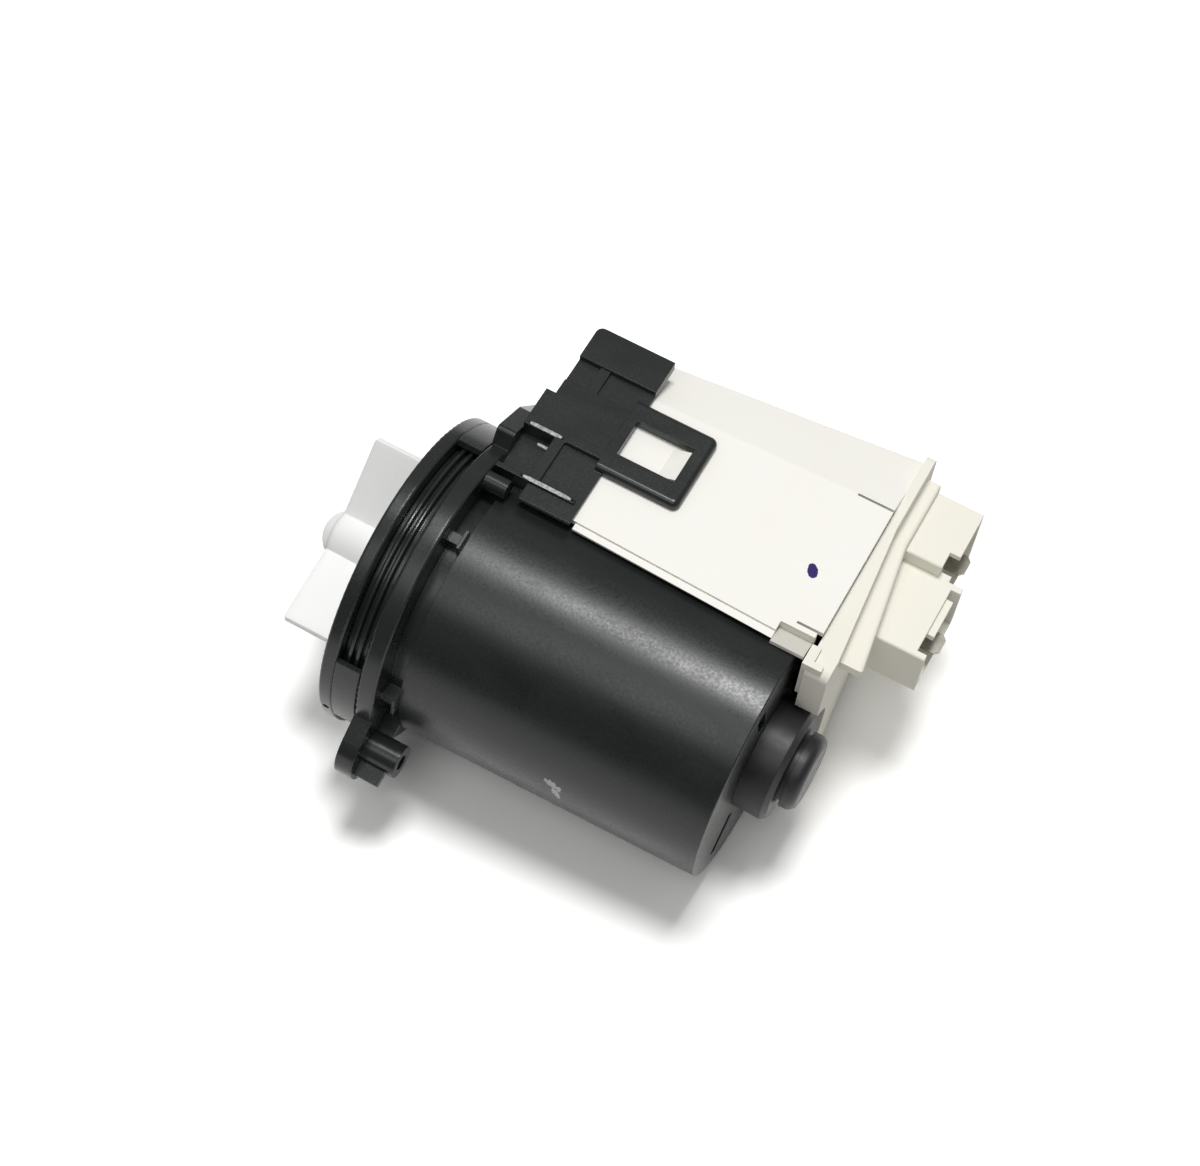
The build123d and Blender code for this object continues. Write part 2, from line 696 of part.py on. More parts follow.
def cover_window():
    low = (winding_front - WINDOW_SPACE, CHAMBER_RADIUS, -window_half_height)
    window_rear = winding_rear + PROTECTOR_THICKNESS + WINDOW_SPACE
    high = (window_rear, cover_front_radius + OVERRUN, window_half_height)
    block(low, high, Mode.SUBTRACT)


def cover_slots():
    start = cover_rear - COVER_END_WALL - OVERRUN
    length = COVER_END_WALL + 2 * OVERRUN
    for number in range(SLOT_COUNT):
        angle = SLOT_ANGLE + 360.0 * number / SLOT_COUNT
        radial_bar(start, length, SLOT_INNER_RADIUS, slot_outer_radius, SLOT_WIDTH, angle, Mode.SUBTRACT)


with BuildPart() as motor_cover:
    cover_shell()
    cover_window()
    cover_slots()

motor_cover.part.label = "motor_cover"
export_step(motor_cover.part, "parts/motor_cover.step")


# Rubber foot: a round pad and a button, buttoned through the end wall of the cover
with BuildPart() as rear_foot:
    lip_rear = cover_rear - COVER_END_WALL
    pad_rear = cover_rear + FOOT_LENGTH
    with BuildSketch(Plane.XY):
        with BuildLine():
            Polyline(
                (lip_rear - FOOT_LIP, 0),
                (lip_rear - FOOT_LIP, FOOT_LIP_RADIUS),
                (lip_rear, FOOT_LIP_RADIUS),
                (lip_rear, FOOT_STEM_RADIUS),
                (cover_rear, FOOT_STEM_RADIUS),
                (cover_rear, FOOT_RADIUS),
                (pad_rear - FOOT_EDGE, FOOT_RADIUS),
                (pad_rear, FOOT_RADIUS - FOOT_EDGE),
                (pad_rear, BUTTON_RADIUS - FOOT_STEP),
                (pad_rear + FOOT_STEP, BUTTON_RADIUS - FOOT_STEP),
                (pad_rear + FOOT_STEP, BUTTON_RADIUS),
                (pad_rear + BUTTON_LENGTH, BUTTON_RADIUS),
                (pad_rear + BUTTON_LENGTH, 0),
                (lip_rear - FOOT_LIP, 0),
            )
        make_face()
    revolve(axis=Axis.X)
    button_rim = edges().filter_by(GeomType.CIRCLE).sort_by(Axis.X)[-1]
    fillet(button_rim, radius=BUTTON_BLEND)

rear_foot.part.label = "rear_foot"
export_step(rear_foot.part, "parts/rear_foot.step")


# Impeller: a hollow hub with straight blades and a stop inside for the dog
def impeller_hub():
    with BuildSketch(Plane.XY) as outline:
        with BuildLine():
            Polyline(
                (hub_rear, SHAFT_RADIUS + RUNNING_FIT),
                (hub_rear, HUB_REAR_RADIUS),
                (hub_front, HUB_FRONT_RADIUS),
                (hub_front, HUB_BORE),
                (hub_floor, HUB_BORE),
                (hub_floor, SHAFT_RADIUS + RUNNING_FIT),
                (hub_rear, SHAFT_RADIUS + RUNNING_FIT),
            )
        make_face()
    revolve(outline.sketch, axis=Axis.X)


def impeller_blade(angle):
    root = (HUB_BORE + HUB_FRONT_RADIUS) / 2
    blade_rear = hub_front + BLADE_LENGTH
    with BuildSketch(axis_plane(angle)) as outline:
        with BuildLine():
            Polyline(
                (blade_rear, root),
                (blade_rear, BLADE_TIP_RADIUS),
                (hub_front + BLADE_SLOPE, BLADE_TIP_RADIUS),
                (hub_front, root),
                (blade_rear, root),
            )
        make_face()
        fillet(vertices().group_by(Axis.X)[1], radius=BLADE_BLEND)
    extrude(outline.sketch, amount=BLADE_THICKNESS / 2, both=True)


with BuildPart() as impeller:
    impeller_hub()
    for number in range(BLADE_COUNT):
        impeller_blade(BLADE_ANGLE + 360.0 * number / BLADE_COUNT)
    stop_angle = BLADE_ANGLE + 180.0
    stop_outer = (HUB_BORE + HUB_FRONT_RADIUS) / 2
    sector(
        dog_front, stop_outer, STOP_ROOT_RADIUS,
        stop_angle - DOG_HALF_ANGLE, stop_angle + DOG_HALF_ANGLE, DOG_LENGTH
    )

impeller.part.label = "impeller"
export_step(impeller.part, "parts/impeller.step")


# Domed cap that closes the hub
with BuildPart() as impeller_cap:
    sphere_radius = (HUB_FRONT_RADIUS**2 + CAP_HEIGHT**2) / (2 * CAP_HEIGHT)
    with BuildSketch(Plane.XY):
        with BuildLine():
            RadiusArc((hub_front - CAP_HEIGHT, 0), (hub_front, HUB_FRONT_RADIUS), sphere_radius)
            Polyline(
                (hub_front, HUB_FRONT_RADIUS),
                (hub_front, HUB_BORE),
                (hub_front + CAP_PLUG, HUB_BORE),
                (hub_front + CAP_PLUG, 0),
                (hub_front - CAP_HEIGHT, 0),
            )
        make_face()
    revolve(axis=Axis.X)

impeller_cap.part.label = "impeller_cap"
export_step(impeller_cap.part, "parts/impeller_cap.step")


# Driving dog on the shaft
with BuildPart() as coupling_dog:
    ring(dog_front, DOG_COLLAR_RADIUS, SHAFT_RADIUS, DOG_LENGTH)
    sector(
        dog_front, DOG_TIP_RADIUS, SHAFT_RADIUS,
        BLADE_ANGLE - DOG_HALF_ANGLE, BLADE_ANGLE + DOG_HALF_ANGLE, DOG_LENGTH
    )

coupling_dog.part.label = "coupling_dog"
export_step(coupling_dog.part, "parts/coupling_dog.step")


# Rubber damper at the bottom of the hub
with BuildPart() as coupling_damper:
    ring(damper_front, HUB_BORE, DAMPER_BORE, DAMPER_LENGTH)

coupling_damper.part.label = "coupling_damper"
export_step(coupling_damper.part, "parts/coupling_damper.step")


# Rotor shaft
with BuildPart() as rotor_shaft:
    shaft_front = dog_front - SHAFT_END_SPACE
    disc(shaft_front, SHAFT_RADIUS, rear_bearing_rear - SHAFT_END_SPACE - shaft_front)

rotor_shaft.part.label = "rotor_shaft"
export_step(rotor_shaft.part, "parts/rotor_shaft.step")


# Plastic core that holds the magnet on the shaft
with BuildPart() as rotor_core:
    ring(magnet_front - CORE_FLANGE, CORE_RADIUS, SHAFT_RADIUS, magnet_length + 2 * CORE_FLANGE)
    for start in (magnet_front - CORE_FLANGE, magnet_rear):
        ring(start, CORE_FLANGE_RADIUS, SHAFT_RADIUS, CORE_FLANGE)

rotor_core.part.label = "rotor_core"
export_step(rotor_core.part, "parts/rotor_core.step")


# Permanent magnet
with BuildPart() as rotor_magnet:
    ring(magnet_front, MAGNET_RADIUS, CORE_RADIUS, magnet_length)

rotor_magnet.part.label = "rotor_magnet"
export_step(rotor_magnet.part, "parts/rotor_magnet.step")


# Chamber cover: the plug that closes the rotor chamber behind the impeller
with BuildPart() as chamber_cover:
    seat_rear = rim_front + SEAL_LENGTH
    shoulder_rear = seat_rear + COVER_SHOULDER
    ring(rim_front, CHAMBER_RADIUS, SEAL_RADIUS, SEAL_LENGTH)
    ring(seat_rear, CHAMBER_RADIUS, COVER_SHOULDER_BORE, COVER_SHOULDER)
    ring(shoulder_rear, CHAMBER_RADIUS, COVER_SLEEVE_BORE, front_bearing_front - shoulder_rear)

chamber_cover.part.label = "chamber_cover"
export_step(chamber_cover.part, "parts/chamber_cover.step")


# Lip seal round the shaft
with BuildPart() as shaft_seal:
    ring(rim_front, SEAL_RADIUS, SHAFT_RADIUS + RUNNING_FIT, SEAL_LIP)
    ring(rim_front + SEAL_LIP, SEAL_RADIUS, SEAL_HOLLOW_RADIUS, SEAL_LENGTH - SEAL_LIP)

shaft_seal.part.label = "shaft_seal"
export_step(shaft_seal.part, "parts/shaft_seal.step")


# Bearings and their rubber holders
def bearing_bush(start):
    with BuildPart() as bush:
        ring(start, BEARING_RADIUS, SHAFT_RADIUS + RUNNING_FIT, BEARING_LENGTH)
        chamfer(circles_of(SHAFT_RADIUS + RUNNING_FIT), length=BEARING_CHAMFER)
    return bush.part


def bearing_holder(start):
    with BuildPart() as holder:
        ring(start, CHAMBER_RADIUS, BEARING_RADIUS, BEARING_LENGTH)
    return holder.part


bearing_places = {"front": front_bearing_front, "rear": rear_bearing_front}
for place_name, start in bearing_places.items():
    for piece_name, make_piece in (("bearing", bearing_bush), ("bearing_holder", bearing_holder)):
        piece = make_piece(start)
        piece.label = f"{place_name}_{piece_name}"
        export_step(piece, f"parts/{piece.label}.step")


# Stator core: a stack of sheets with two legs, a yoke and the pole bore
with BuildPart() as stator_core:
    with BuildSketch(Plane.YZ.offset(stack_front)):
        for side in (1, -1):
            with Locations(((LEG_TIP + YOKE_END) / 2, side * leg_centre)):
                Rectangle(YOKE_END - LEG_TIP, leg_outer - LEG_INNER)
        with Locations(((YOKE_START + YOKE_END) / 2, 0)):
            Rectangle(YOKE_END - YOKE_START, 2 * leg_outer)
        Circle(chamber_outer, mode=Mode.SUBTRACT)
    extrude(amount=stack_length)

stator_core.part.label = "stator_core"
export_step(stator_core.part, "parts/stator_core.step")


# Coil bobbins and windings, one on each leg
def bobbin_tube(side, grow, start, end, mode=Mode.ADD):
    """A box round one leg, larger than the leg by grow on every side."""
    half_x = stack_length / 2 + grow
    half_z = (leg_outer - LEG_INNER) / 2 + grow
    low = (rotor_centre - half_x, start, side * leg_centre - half_z)
    block(low, (rotor_centre + half_x, end, side * leg_centre + half_z), mode)


def coil_bobbin(side):
    with BuildPart() as bobbin:
        bobbin_tube(side, BOBBIN_GAP + BOBBIN_WALL, coil_start, COIL_END)
        bobbin_tube(side, BOBBIN_FLANGE_HEIGHT, coil_start, coil_start + BOBBIN_FLANGE)
        bobbin_tube(side, BOBBIN_FLANGE_HEIGHT, COIL_END - BOBBIN_FLANGE, COIL_END)
        bobbin_tube(side, BOBBIN_GAP, coil_start - OVERRUN, COIL_END + OVERRUN, Mode.SUBTRACT)
    return bobbin.part


def coil_winding(side):
    start = coil_start + BOBBIN_FLANGE
    end = COIL_END - BOBBIN_FLANGE
    with BuildPart() as winding:
        bobbin_tube(side, BOBBIN_GAP + BOBBIN_WALL + WINDING_BUILD, start, end)
        fillet(edges().filter_by(Axis.Y), radius=WINDING_BLEND)
        bobbin_tube(side, BOBBIN_GAP + BOBBIN_WALL, start - OVERRUN, end + OVERRUN, Mode.SUBTRACT)
    return winding.part


coil_sides = {"upper": 1, "lower": -1}
for side_name, side in coil_sides.items():
    for piece_name, make_piece in (("coil_bobbin", coil_bobbin), ("coil_winding", coil_winding)):
        piece = make_piece(side)
        piece.label = f"{piece_name}_{side_name}"
        export_step(piece, f"parts/{piece.label}.step")


# Coil housing: a box that grows towards the rear, open towards the motor cover
def housing_profile(x, inset, low):
    """Half of the section is drawn, and the other half is its mirror image."""
    share = (x - HOUSING_FRONT) / (housing_rear - HOUSING_FRONT)
    ridge = HOUSING_RIDGE + share * HOUSING_DRAFT - inset / 2
    far = HOUSING_FAR + share * HOUSING_FAR_DRAFT - inset
    half_height = housing_half_height - inset
    far_half_height = housing_far_half_height - inset / 2
    with BuildSketch(Plane.YZ.offset(x)) as outline:
        with BuildLine():
            Polyline(
                (low, -half_height),
                (ridge, -half_height),
                (far, -far_half_height),
                (far, far_half_height),
                (ridge, half_height),
                (low, half_height),
                (low, -half_height),
            )
        make_face()
    return outline.sketch


def housing_shell():
    front = housing_profile(HOUSING_FRONT, 0, HOUSING_LOW)
    rear = housing_profile(housing_rear, 0, HOUSING_LOW - HOUSING_DRAFT)
    loft([front, rear], ruled=True)
    long_edges = edges().filter_by(lambda edge: edge.length > (housing_rear - HOUSING_FRONT) * LONG_EDGE_SHARE)
    far_edges = long_edges.filter_by(lambda edge: edge.center().Y > HOUSING_LOW)
    fillet(far_edges, radius=HOUSING_BLEND)


def housing_ledge(side):
    """A low ledge along the edge beside the motor cover."""
    top = housing_half_height - LEDGE_DROP
    with BuildSketch(Plane.XY.offset(side * top)) as outline:
        with BuildLine():
            Polyline(
                (CRADLE_REAR, HOUSING_LOW),
                (CRADLE_REAR, HOUSING_LOW - LEDGE_WIDTH),
                (housing_rear, HOUSING_LOW - HOUSING_DRAFT - LEDGE_WIDTH),
                (housing_rear, HOUSING_LOW),
                (CRADLE_REAR, HOUSING_LOW),
            )
        make_face()
    extrude(outline.sketch, amount=-side * (HOUSING_WALL - LEDGE_DROP))


def housing_hollow():
    low = HOUSING_LOW - HOUSING_DRAFT - LEDGE_WIDTH - OVERRUN
    front = housing_profile(HOUSING_FRONT + HOUSING_WALL, HOUSING_WALL, low)
    rear = housing_profile(housing_rear, HOUSING_WALL, low)
    loft([front, rear], ruled=True, mode=Mode.SUBTRACT)
    disc(HOUSING_FRONT - OVERRUN, cover_bore_gap, housing_rear - HOUSING_FRONT + 2 * OVERRUN, Mode.SUBTRACT)


def housing_catch(side):
    """A ramp that the clip frame snaps over."""
    catch_rear = CLIP_WINDOW_REAR - CRADLE_GAP
    middle = (CLIP_WINDOW_LOW + CLIP_WINDOW_FAR) / 2
    foot = housing_half_height - HOUSING_WALL / 2
    with BuildSketch(Plane.XZ.offset(-(middle - CATCH_WIDTH / 2))) as outline:
        with BuildLine():
            Polyline(
                (catch_rear - CATCH_LENGTH, side * foot),
                (catch_rear, side * foot),
                (catch_rear, side * (housing_half_height + CATCH_HEIGHT)),
                (catch_rear - CATCH_LENGTH, side * foot),
            )
        make_face()
    extrude(outline.sketch, amount=-CATCH_WIDTH)


def housing_tongue(side):
    """A latch tongue beside the corner that is cut away at the rear end."""
    top = housing_half_height
    start = housing_rear - TONGUE_LENGTH
    end = housing_rear - TONGUE_END_SPACE
    beyond = (housing_rear + OVERRUN, tongue_far + TONGUE_SLOT, top + OVERRUN)
    cut_end = (housing_rear + OVERRUN, TONGUE_PLACE, top + OVERRUN)
    side_block(side, (start, 0, tongue_bottom), cut_end, Mode.SUBTRACT)
    side_block(side, (end - TONGUE_SLOT_LENGTH, TONGUE_PLACE, tongue_bottom), beyond, Mode.SUBTRACT)
    side_block(side, (start - TONGUE_THICKNESS, TONGUE_PLACE, tongue_bottom), (end, tongue_far, top))


def housing_web(side):
    """A thin web that runs from the tongue's foot over the motor cover."""
    near = degrees(acos((TONGUE_PLACE + TONGUE_THICKNESS / 2) / web_outer))
    low = degrees(acos(WEB_LOW / web_outer))
    middle = side * (near + low) / 2
    spread = (low - near) / 2
    start = housing_rear - TONGUE_LENGTH
    sector(start, web_outer, web_inner, middle - spread, middle + spread, TONGUE_LENGTH - WEB_END_SPACE)


def housing_far_slot(side):
    start = (housing_rear - FAR_SLOT_LENGTH, FAR_SLOT_PLACE, housing_half_height - 2 * HOUSING_WALL)
    end = (housing_rear + OVERRUN, FAR_SLOT_PLACE + FAR_SLOT_WIDTH, housing_half_height + OVERRUN)
    side_block(side, start, end, Mode.SUBTRACT)


with BuildPart() as coil_housing:
    housing_shell()
    for side in (1, -1):
        housing_ledge(side)
    housing_hollow()
    for side in (1, -1):
        housing_catch(side)
        housing_tongue(side)
        housing_web(side)
        housing_far_slot(side)

coil_housing.part.label = "coil_housing"
export_step(coil_housing.part, "parts/coil_housing.step")


# Terminal cover: the stepped plate that closes the housing, and the connector bays on it
def wedge_plate(start, thin, thick, low, far, bottom, top):
    """A plate on the plane at start: thin at the far end, thicker towards the motor cover."""
    corners = [(housing_rear, low), (start + thick, low)]
    if low < END_SLOPE_LOW:
        corners.append((start + thick, END_SLOPE_LOW))
    corners += [(start + thin, END_SLOPE_FAR), (start + thin, far), (housing_rear, far), (housing_rear, low)]
    with BuildSketch(Plane.XY.offset(bottom)) as outline:
        with BuildLine():
            Polyline(*corners)
        make_face()
    extrude(outline.sketch, amount=top - bottom)


def end_plate():
    wedge_plate(
        housing_rear,
        END_PLATE_THIN,
        END_PLATE_THICK,
        END_PLATE_LOW,
        END_PLATE_FAR,
        -end_plate_half_height,
        end_plate_half_height,
    )
    ends = edges(Select.LAST).filter_by(Axis.X)
    corners = ends.filter_by(lambda edge: abs(edge.center().Z) > end_plate_half_height - SEAT_GAP)
    fillet(corners, radius=COVER_CORNER)


def step_plate():
    """The step under the bays. Beside the low bay only its lip along the top is left."""
    lip_bottom = step_half_height - STEP_LIP
    thick = END_PLATE_THICK - END_PLATE_THIN + STEP_THICK
    wedge_plate(
        housing_rear + END_PLATE_THIN, STEP_THIN, thick, STEP_LOW, STEP_FAR, BAY_BASE, step_half_height
    )
    reach = housing_rear + END_PLATE_THICK + STEP_THICK + OVERRUN
    beside = (housing_rear - OVERRUN, STEP_LOW - OVERRUN, BAY_BASE - OVERRUN)
    block(beside, (reach, LOW_BAY_START, lip_bottom), Mode.SUBTRACT)
    corner = edges().filter_by(Axis.Z).group_by(Axis.X)[-1]
    top_edges = faces().sort_by(Axis.Z)[-1].edges()
    rear_edges = top_edges.filter_by(lambda edge: edge.bounding_box().size.Y > SEAT_GAP)
    rear_edges = rear_edges.filter_by(lambda edge: edge.center().X > housing_rear + END_PLATE_THIN)
    fillet(corner + rear_edges, radius=STEP_BLEND)


def corner_lug(side):
    """The L at a corner: its leg reaches over the housing's end, its foot lies on the end plate."""
    top = end_plate_half_height + LUG_RISE
    start = housing_rear - LUG_LEG_OVERHANG
    leg_end = start + LUG_LEG_WIDTH
    side_block(side, (start, LUG_LOW, top - LUG_DEPTH), (leg_end, LUG_LOW + LUG_LEG_LENGTH, top))
    foot_end = housing_rear + LUG_FOOT_LENGTH
    side_block(side, (start, LUG_LOW, top - LUG_DEPTH), (foot_end, LUG_LOW + LUG_FOOT_WIDTH, top))


def bay_block(start, width, height, rear):
    block((housing_rear, start, BAY_BASE), (rear, start + width, BAY_BASE + height))


def bay_hollow(start, width, height, rear):
    low = (bay_floor, start + BAY_WALL, BAY_BASE + BAY_WALL)
    high = (rear + OVERRUN, start + width - BAY_WALL, BAY_BASE + height - BAY_WALL)
    block(low, high, Mode.SUBTRACT)


def low_bay_mouth():
    """The top wall of the low bay is cut back, and a key stands below it."""
    top = BAY_BASE + LOW_BAY_HEIGHT
    inside_low = LOW_BAY_START + BAY_WALL
    inside_far = high_bay_start - BAY_WALL
    cut = low_bay_rear - LOW_BAY_CUTBACK
    block((cut, inside_low, top - BAY_WALL), (low_bay_rear + OVERRUN, inside_far, top + OVERRUN), Mode.SUBTRACT)
    key_top = top - BAY_WALL
    key_end = (low_bay_rear - KEY_SETBACK, KEY_START + KEY_WIDTH, key_top)
    block((bay_floor, KEY_START, key_top - KEY_THICKNESS), key_end)


def high_bay_notch():
    """The high bay's corner beside the low bay is cut away at the mouth."""
    top = BAY_BASE + HIGH_BAY_HEIGHT
    low = (high_bay_rear - HIGH_BAY_NOTCH_LENGTH, high_bay_start, BAY_BASE + LOW_BAY_HEIGHT)
    block(low, (high_bay_rear + OVERRUN, high_bay_start + HIGH_BAY_NOTCH_WIDTH, top + OVERRUN), Mode.SUBTRACT)


terminal_places = {"low": (LOW_TERMINAL_PLACE, low_bay_rear), "high": (HIGH_TERMINAL_PLACE, high_bay_rear)}


def terminal_corners(middle, rear):
    low = (housing_rear - TERMINAL_TAIL, middle - TERMINAL_WIDTH / 2, TERMINAL_HEIGHT - TERMINAL_THICKNESS / 2)
    high = (rear + TERMINAL_PROUD, middle + TERMINAL_WIDTH / 2, TERMINAL_HEIGHT + TERMINAL_THICKNESS / 2)
    return low, high


with BuildPart() as terminal_cover:
    step_plate()
    end_plate()
    bays = (
        (LOW_BAY_START, LOW_BAY_WIDTH, LOW_BAY_HEIGHT, low_bay_rear),
        (high_bay_start, HIGH_BAY_WIDTH, HIGH_BAY_HEIGHT, high_bay_rear),
    )
    for bay in bays:
        bay_block(*bay)
    bay_edges = edges().filter_by(Axis.X).filter_by(lambda edge: edge.center().X > bay_floor)
    inside_corner = BAY_BASE + LOW_BAY_HEIGHT
    outer_edges = bay_edges.filter_by(lambda edge: abs(edge.center().Z - inside_corner) > SEAT_GAP)
    low_edges = bay_edges.filter_by(lambda edge: abs(edge.center().Y - LOW_BAY_START) < SEAT_GAP)
    fillet(outer_edges + low_edges.group_by(Axis.Z)[-1], radius=BAY_BLEND)
    for bay in bays:
        bay_hollow(*bay)
    low_bay_mouth()
    high_bay_notch()
    for middle, rear in terminal_places.values():
        block(*terminal_corners(middle, rear), Mode.SUBTRACT)
    for side in (1, -1):
        corner_lug(side)
    notch_length = LOW_BAY_LENGTH + BAY_FLOOR
    disc(housing_rear - OVERRUN, FOOT_RADIUS + FOOT_NOTCH_GAP, notch_length, Mode.SUBTRACT)

terminal_cover.part.label = "terminal_cover"
export_step(terminal_cover.part, "parts/terminal_cover.step")


# Flat terminals with pointed tips
for bay_name, (middle, rear) in terminal_places.items():
    with BuildPart() as terminal:
        block(*terminal_corners(middle, rear))
        tip_corners = edges().filter_by(Axis.Z).group_by(Axis.X)[-1]
        chamfer(tip_corners, length=TERMINAL_TIP)
    terminal.part.label = f"terminal_{bay_name}"
    export_step(terminal.part, f"parts/{terminal.part.label}.step")


# Thermal protector on the upper coil's rear side
with BuildPart() as thermal_protector:
    coil_middle = (coil_start + COIL_END) / 2
    low = (winding_rear, coil_middle - PROTECTOR_LENGTH / 2, leg_centre - PROTECTOR_WIDTH / 2)
    high = (
        winding_rear + PROTECTOR_THICKNESS,
        coil_middle + PROTECTOR_LENGTH / 2,
        leg_centre + PROTECTOR_WIDTH / 2,
    )
    block(low, high)
    fillet(edges().filter_by(Axis.X), radius=PROTECTOR_BLEND)

thermal_protector.part.label = "thermal_protector"
export_step(thermal_protector.part, "parts/thermal_protector.step")
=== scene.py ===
import math

import bmesh
import bpy
from mathutils import Matrix, Vector


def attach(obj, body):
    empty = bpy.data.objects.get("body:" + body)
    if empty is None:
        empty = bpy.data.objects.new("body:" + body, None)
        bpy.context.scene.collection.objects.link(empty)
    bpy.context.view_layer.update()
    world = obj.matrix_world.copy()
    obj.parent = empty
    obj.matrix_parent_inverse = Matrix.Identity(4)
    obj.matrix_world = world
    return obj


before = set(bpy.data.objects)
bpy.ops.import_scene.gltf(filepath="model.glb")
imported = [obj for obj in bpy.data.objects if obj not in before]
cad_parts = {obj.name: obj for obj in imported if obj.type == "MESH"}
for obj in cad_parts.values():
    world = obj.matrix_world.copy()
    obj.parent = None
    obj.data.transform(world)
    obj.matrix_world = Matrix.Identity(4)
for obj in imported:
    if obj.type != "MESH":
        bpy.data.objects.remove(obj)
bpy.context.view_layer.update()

# Metres and degrees throughout. The pump's axis is X, the coils lie on the +Y side.
MM = 0.001
WHITE = (1.0, 1.0, 1.0, 1.0)

# Camera: place, and the three directions of its picture
CAMERA_PLACE = (0.1705, -0.2902, 0.6191)
CAMERA_RIGHT = (0.875194, 0.480780, 0.053720)
CAMERA_UP = (-0.445189, 0.756958, 0.478353)
CAMERA_BACK = (0.189319, -0.442567, 0.876523)
CAMERA_LENS = 78.0
CAMERA_SENSOR = 36.0

# Floor: the pump lies on its flange's rim and on the rear of the coil housing
FLOOR_TILT = 3.4
FLOOR_SIZE = 3.0
FLOOR_COLOUR = (0.74, 0.735, 0.72, 1.0)
FLOOR_SEEN = (1.22, 1.215, 1.20, 1.0)

# Light: the world is brighter towards the ceiling.
# Each lamp has its direction from the place that it shines at, its distance, its diameter and its power.
CEILING = (0.0, 0.45, 0.89)
WORLD_LOW = 0.10
WORLD_HIGH = 0.40
LAMP_AIM = (0.05, 0.02, 0.0)
LAMPS = {
    "lamp_top": ((-0.04, 0.13, 0.98), 3.0, 0.85, 58.0),
    "lamp_camera": ((-0.04, -0.47, 0.88), 3.0, 1.6, 17.0),
}

# Colours of the plastics, and the painted shade of the web over the motor cover
COVER_BLACK = (0.0112, 0.0135, 0.0132, 1.0)
BODY_BLACK = (0.0160, 0.0185, 0.0182, 1.0)
HOUSING_WHITE = (0.87, 0.86, 0.815, 1.0)
# The terminal cover is the housing's white plastic, made darker and yellower here as painted shade
CONNECTOR_SHADED_WHITE = (0.83, 0.815, 0.735, 1.0)
WEB_PAINTED_SHADE = (0.60, 0.585, 0.53, 1.0)
IMPELLER_WHITE = (0.93, 0.935, 0.925, 1.0)

# Crowns on the ribs. LEAN is a top's slope at its middle, which falls towards -Y, and CURVE is how much
# that slope changes towards its edges. FALL is the slope towards +X that its shading has.
CROWN_HEIGHT = 0.2 * MM
CROWN_LEAN = 0.18
CROWN_CURVE = 0.07
CROWN_FALL = 0.10
# A crown's points: steps along it and strips across it. It narrows over the first and the last sixth,
# to this share of its width.
CROWN_STEPS = 16
CROWN_STRIPS = 8
CROWN_TAPERS = 6
CROWN_TIP_SHARE = 0.35
# Each crown's start, end and width
RIB_CROWNS = {
    "crown_far_rib": ((0.0062, 0.0345, 0.0409), (0.0168, 0.0345, 0.0409), 0.0013),
    "crown_pocket_rib": ((0.0099, 0.0325, 0.0358), (0.0148, 0.0325, 0.0358), 0.0011),
    "crown_near_rib": ((0.0122, 0.0195, 0.0406), (0.0281, 0.0195, 0.0406), 0.0014),
}

# Marks: the spots of the scuff with their radii, the box where shade is painted on the web, and the dot of
# ink
SCUFF = (
    ((0.0536, -0.0379, 0.0041), 0.0006),
    ((0.0547, -0.0379, 0.0037), 0.0009),
    ((0.0560, -0.0379, 0.0035), 0.0009),
    ((0.0573, -0.0379, 0.0030), 0.0008),
    ((0.0564, -0.0380, 0.0006), 0.0010),
    ((0.0572, -0.0380, -0.0007), 0.0008),
    ((0.0578, -0.0380, -0.0018), 0.0005),
)
WEB_SHADE_BOX = ((0.0901, 0.0100, 0.0300), (0.0996, 0.0167, 0.0379))
INK_PLACE = (0.0905, 0.0339, 0.0383)
INK_RADIUS = 1.42 * MM
INK_STRETCH = (1.0, 0.60, 1.0)
INK_TURN = 29.5

# Turns of wire on the coils
WIRE_PITCH = 0.45 * MM


def look_from(place, right, up, back):
    """The matrix of an object at a place, with its own X, Y and Z given."""
    turn = Matrix((right, up, back)).transposed().to_4x4()
    return Matrix.Translation(place) @ turn


# Camera
camera_data = bpy.data.cameras.new("camera")
camera_data.lens = CAMERA_LENS
camera_data.sensor_width = CAMERA_SENSOR
camera = bpy.data.objects.new("camera", camera_data)
camera.matrix_world = look_from(CAMERA_PLACE, CAMERA_RIGHT, CAMERA_UP, CAMERA_BACK)
bpy.context.scene.collection.objects.link(camera)
bpy.context.scene.camera = camera
bpy.context.scene.view_settings.view_transform = "Standard"


# Lamps
def add_lamp(name, direction, distance, size, power):
    """A round lamp that shines at the pump."""
    data = bpy.data.lights.new(name, "AREA")
    data.shape = "DISK"
    data.size = size
    data.energy = power
    lamp = bpy.data.objects.new(name, data)
    away = Vector(direction).normalized()
    lamp.location = Vector(LAMP_AIM) + away * distance
    lamp.rotation_euler = away.to_track_quat("Z", "Y").to_euler()
    bpy.context.scene.collection.objects.link(lamp)


for lamp_name, lamp_facts in LAMPS.items():
    add_lamp(lamp_name, *lamp_facts)


# World: white to the eye, softer as a light
def seen_rays(tree, *kinds):
    """1 for these kinds of ray, else 0."""
    path = tree.nodes.new("ShaderNodeLightPath")
    found = path.outputs[f"Is {kinds[0]} Ray"]
    for kind in kinds[1:]:
        both = tree.nodes.new("ShaderNodeMath")
        both.operation = "MAXIMUM"
        tree.links.new(found, both.inputs[0])
        tree.links.new(path.outputs[f"Is {kind} Ray"], both.inputs[1])
        found = both.outputs[0]
    return found


